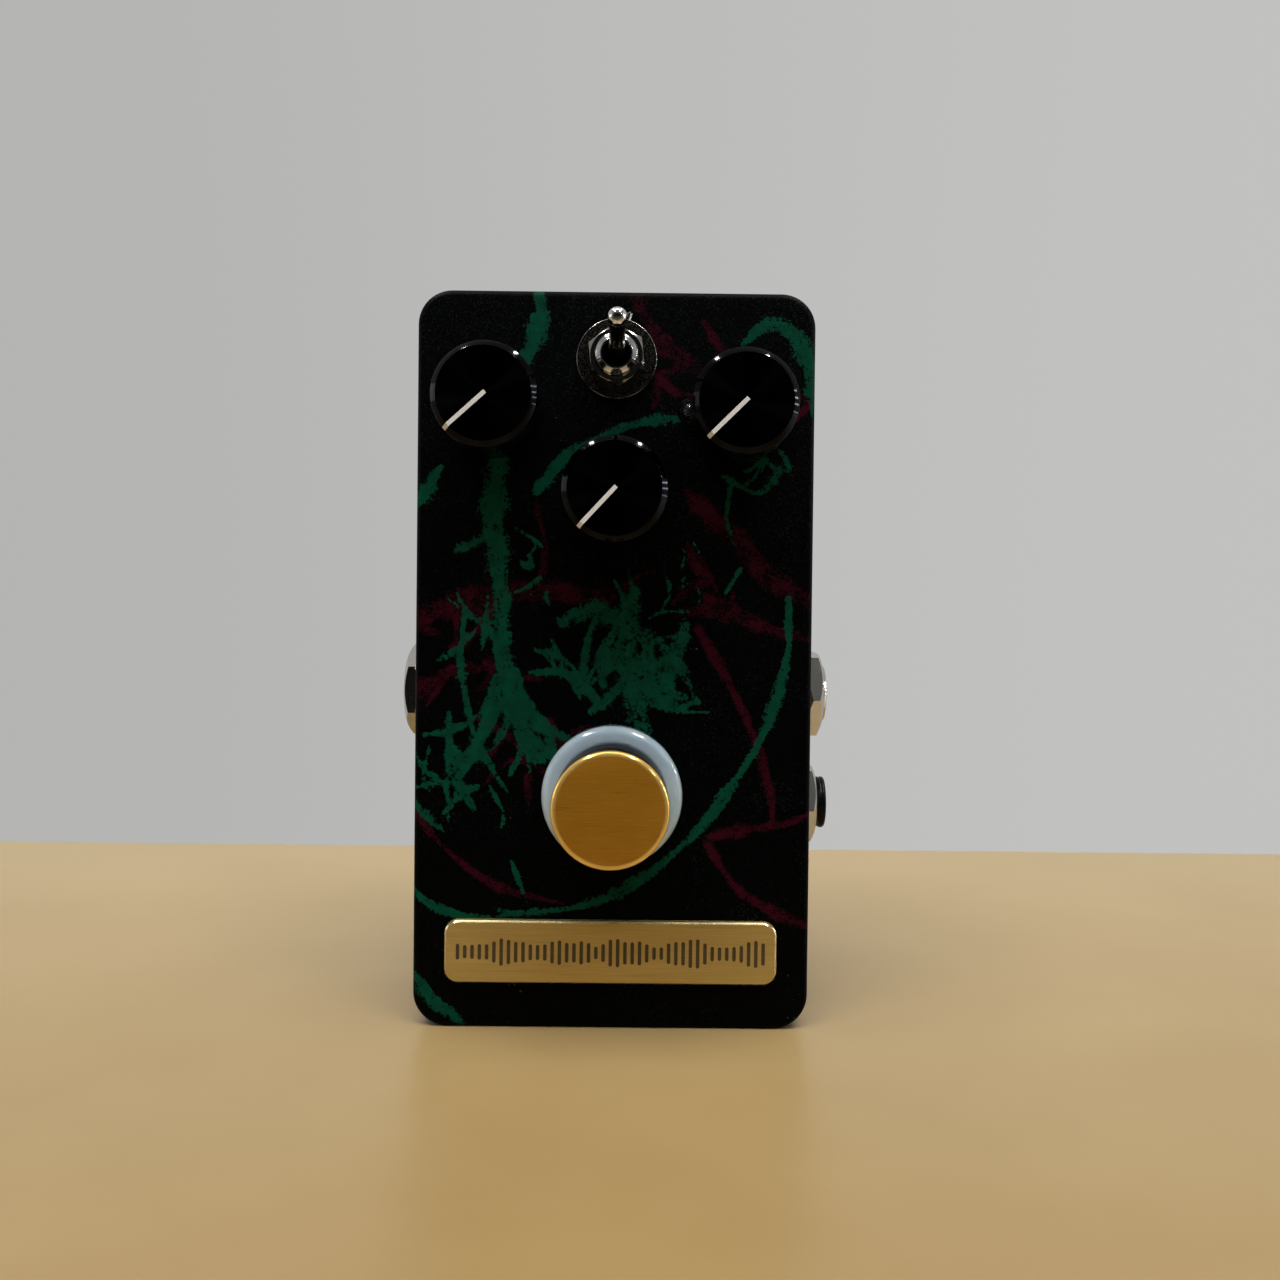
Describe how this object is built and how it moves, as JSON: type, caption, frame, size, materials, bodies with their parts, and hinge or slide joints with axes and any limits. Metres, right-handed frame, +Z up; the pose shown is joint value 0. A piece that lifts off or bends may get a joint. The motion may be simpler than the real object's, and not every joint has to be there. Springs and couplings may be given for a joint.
{
  "type": "guitar effects pedal",
  "caption": "Guitar effects pedal: die-cast box with turning knobs, a toggle switch, a spring-loaded foot switch with a gold cap, side phone jacks and a DC socket.",
  "frame": {"origin": "centre of the lower end face, on which the pedal stands upright", "axes": "+Z up along the pedal's length, towards the toggle switch; +X to the right seen from the control face; the control face looks along -Y and the base plate with its feet along +Y"},
  "size_m": [0.0678, 0.0517, 0.1124],
  "materials": {
    "painted_case": "die-cast, satin black paint with fine speckle and abstract dark green and dark crimson dry-brush strokes",
    "black_anodised": "black anodised, turned face, polished chamfer, white pointer line",
    "gold_anodised": "gold anodised, turned face, polished rounded rim",
    "brass_plate": null,
    "chrome_hardware": "polished nickel-chrome",
    "dark_steel": "dark satin steel",
    "zinc_steel": "zinc plated satin",
    "milky_ring": "glossy translucent milky blue-white",
    "clear_lens": "clear cast epoxy",
    "black_plastic": "moulded black",
    "rubber_feet": "matt black",
    "circuit_board": "green solder mask",
    "pot_case": "moulded blue",
    "capacitor_sleeve": "dark blue sleeve",
    "red_wire": "red insulation",
    "black_wire": "black insulation",
    "contact_metal": "bright spring bronze"
  },
  "bodies": {
    "case": {"base_plate": "painted_case", "center_pot_body": "pot_case", "center_pot_nut": "zinc_steel", "center_pot_washer": "zinc_steel", "circuit_board": "circuit_board", "dc_jack_body": "black_plastic", "dc_jack_nut": "chrome_hardware", "dc_jack_pin": "chrome_hardware", "electrolytic_capacitor": "capacitor_sleeve", "enclosure_shell": "painted_case", "footswitch_body": "black_plastic", "footswitch_bushing": "zinc_steel", "footswitch_nut": "chrome_hardware", "footswitch_ring": "milky_ring", "footswitch_spring": "zinc_steel", "input_jack_body": "black_plastic", "input_jack_nut": "chrome_hardware", "input_jack_tip_contact": "contact_metal", "input_jack_washer": "zinc_steel", "input_wire": "black_wire", "led_bezel": "chrome_hardware", "led_lens": "clear_lens", "left_pot_body": "pot_case", "left_pot_nut": "zinc_steel", "left_pot_washer": "zinc_steel", "lid_screw_bottom_left": "zinc_steel", "lid_screw_bottom_right": "zinc_steel", "lid_screw_top_left": "zinc_steel", "lid_screw_top_right": "zinc_steel", "nameplate": "brass_plate", "op_amp_chip": "black_plastic", "output_jack_body": "black_plastic", "output_jack_nut": "chrome_hardware", "output_jack_tip_contact": "contact_metal", "output_jack_washer": "zinc_steel", "output_wire": "black_wire", "power_wire": "red_wire", "right_pot_body": "pot_case", "right_pot_nut": "zinc_steel", "right_pot_washer": "zinc_steel", "rubber_foot_1": "rubber_feet", "rubber_foot_2": "rubber_feet", "rubber_foot_3": "rubber_feet", "rubber_foot_4": "rubber_feet", "toggle_body": "chrome_hardware", "toggle_nut": "chrome_hardware", "toggle_washer": "dark_steel"},
    "left_control": {"left_knob": "black_anodised", "left_pot_shaft": "zinc_steel", "left_knob_set_screw": "dark_steel"},
    "center_control": {"center_knob": "black_anodised", "center_pot_shaft": "zinc_steel", "center_knob_set_screw": "dark_steel"},
    "right_control": {"right_knob": "black_anodised", "right_pot_shaft": "zinc_steel", "right_knob_set_screw": "dark_steel"},
    "toggle_arm": {"toggle_lever": "chrome_hardware"},
    "foot_button": {"footswitch_plunger": "chrome_hardware", "footswitch_cap": "gold_anodised", "footswitch_cap_set_screw": "dark_steel"}
  },
  "joints": [
    {"name": "left_knob_turn", "type": "hinge", "parent": "case", "child": "left_control", "pos_m": [-0.0184, -0.0155, 0.094], "axis": [0, 1, 0], "range_deg": [0, 280]},
    {"name": "center_knob_turn", "type": "hinge", "parent": "case", "child": "center_control", "pos_m": [0.0001, -0.0155, 0.08095], "axis": [0, 1, 0], "range_deg": [0, 280]},
    {"name": "right_knob_turn", "type": "hinge", "parent": "case", "child": "right_control", "pos_m": [0.0185, -0.0155, 0.0935], "axis": [0, 1, 0], "range_deg": [0, 280]},
    {"name": "toggle_flip", "type": "hinge", "parent": "case", "child": "toggle_arm", "pos_m": [0, -0.0175, 0.1021], "axis": [1, 0, 0], "range_deg": [0, 18.3]},
    {"name": "footswitch_press", "type": "slide", "parent": "case", "child": "foot_button", "axis": [0, 1, 0], "range_m": [0, 0.003], "stiffness_N_per_m": 3000, "springref_m": -0.002, "deforming": ["footswitch_spring"]}
  ]
}
